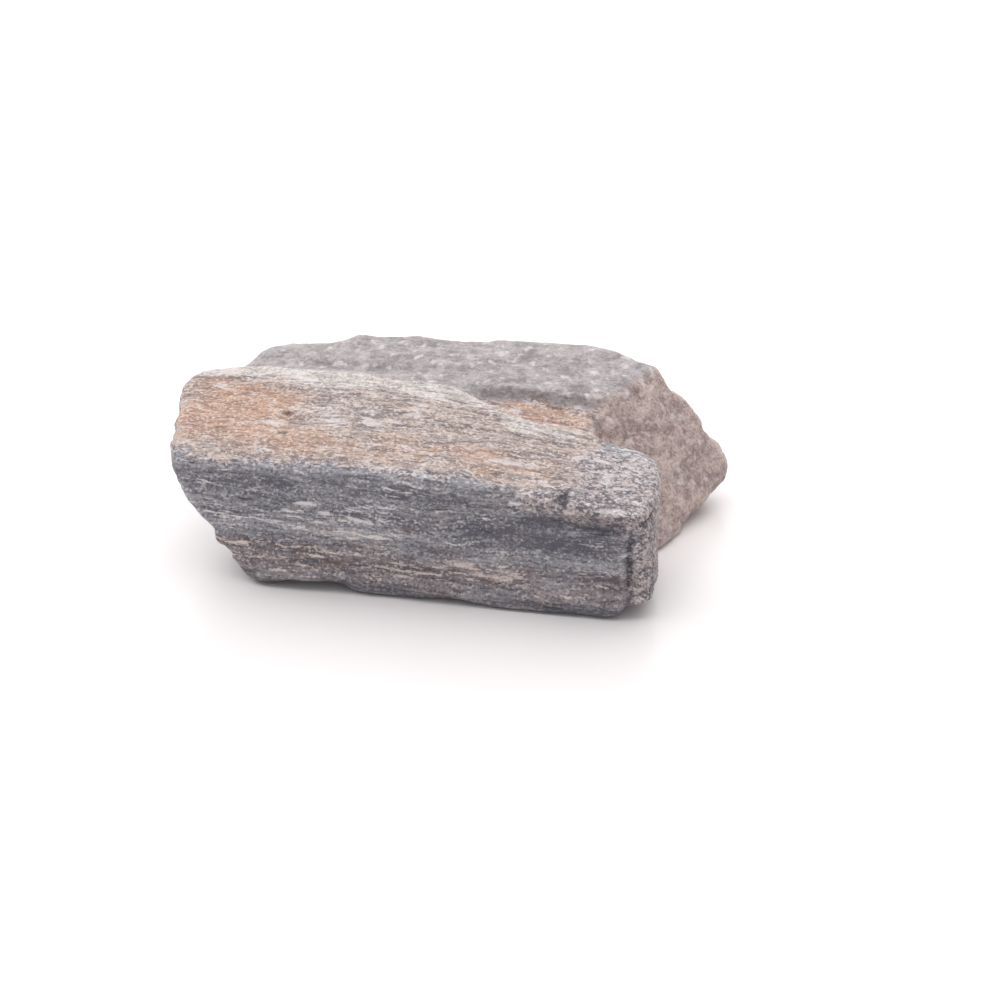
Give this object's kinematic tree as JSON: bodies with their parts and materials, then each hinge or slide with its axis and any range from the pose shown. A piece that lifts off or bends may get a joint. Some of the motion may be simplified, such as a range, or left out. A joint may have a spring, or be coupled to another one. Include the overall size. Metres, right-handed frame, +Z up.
{
  "type": "rough martite stone",
  "caption": "Hand-size rough piece of foliated martite, an oblong block with a striated front face, a stepped top, a notched broken end and a flat spot underneath that it rests on.",
  "frame": {"origin": "bottom centre of the stone's bounding box, on the plane of the flat spot that it rests on", "axes": "+X along the streaks of the rock, towards the slanting broken end and its tip; +Y away from the straight striated front face; +Z up"},
  "size_m": [0.058, 0.0362, 0.0162],
  "materials": {
    "martite": "rough and dull, with a faint metallic glint on the dark layers"
  },
  "bodies": {
    "root": {"martite_stone": "martite"}
  },
  "joints": []
}
